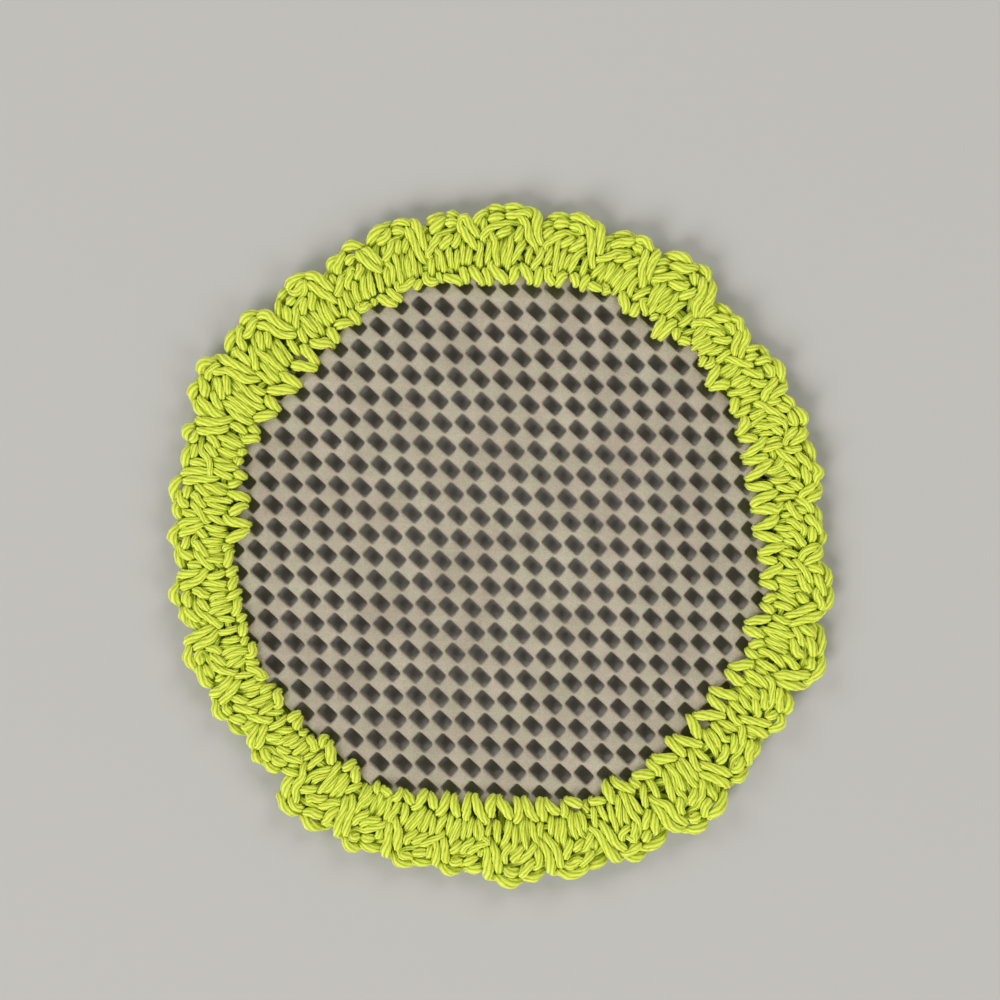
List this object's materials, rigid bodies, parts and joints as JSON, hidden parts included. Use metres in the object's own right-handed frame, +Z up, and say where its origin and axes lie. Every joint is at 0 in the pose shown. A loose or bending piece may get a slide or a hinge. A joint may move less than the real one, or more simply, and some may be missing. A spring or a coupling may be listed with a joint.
{
  "type": "jar gripper",
  "caption": "Round kitchen jar gripper: a disc of non-slip mesh for the hold on a lid, with a crocheted two-round border of small shells.",
  "frame": {"origin": "on the resting surface, under the middle of the border's outline", "axes": "+Z up out of the face that lies uppermost; +Y along the outline's slightly longer way; +X to the right of +Y, seen from above"},
  "size_m": [0.1678, 0.1729, 0.0056],
  "materials": {
    "liner": "matt foam-coated mesh, taupe",
    "yarn": "matt plied cotton, lime green"
  },
  "bodies": {
    "root": {"mesh_liner": "liner", "crochet_border": "yarn"}
  },
  "joints": []
}
